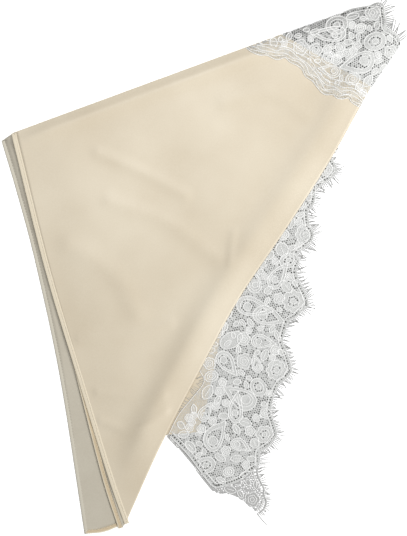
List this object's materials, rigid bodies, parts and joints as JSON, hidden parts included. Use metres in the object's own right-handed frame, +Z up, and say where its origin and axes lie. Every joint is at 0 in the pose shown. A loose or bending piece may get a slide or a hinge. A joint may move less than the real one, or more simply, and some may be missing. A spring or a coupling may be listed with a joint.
{
  "type": "folded lace-edged satin cloth",
  "caption": "Champagne satin wrap with a scalloped eyelash lace border and narrow stitched hems, folded flat into a long triangle",
  "frame": {"origin": "on the table under the middle of the folded cloth's outline", "axes": "+Z up from the table, +Y towards the folded apex with its lace, +X towards the lace border"},
  "size_m": [0.3634, 0.4823, 0.0072],
  "materials": {
    "satin": "champagne satin, soft sheen on the right side and matte on the wrong side",
    "hem": "the same satin turned twice, a little creamier",
    "lace": "ivory corded lace, matte cotton thread on fine net",
    "thread": "cream sewing thread, slight sheen"
  },
  "bodies": {
    "root": {"satin_panel": "satin", "side_hem": "hem", "inner_hem": "hem", "end_hem": "hem", "lace_border": "lace", "lash_edge_long": "lace", "lash_edge_apex": "lace", "side_hem_stitches": "thread", "inner_hem_stitches": "thread", "end_hem_stitches": "thread", "lace_seam_stitches": "thread", "thread_tail": "thread"}
  },
  "joints": []
}
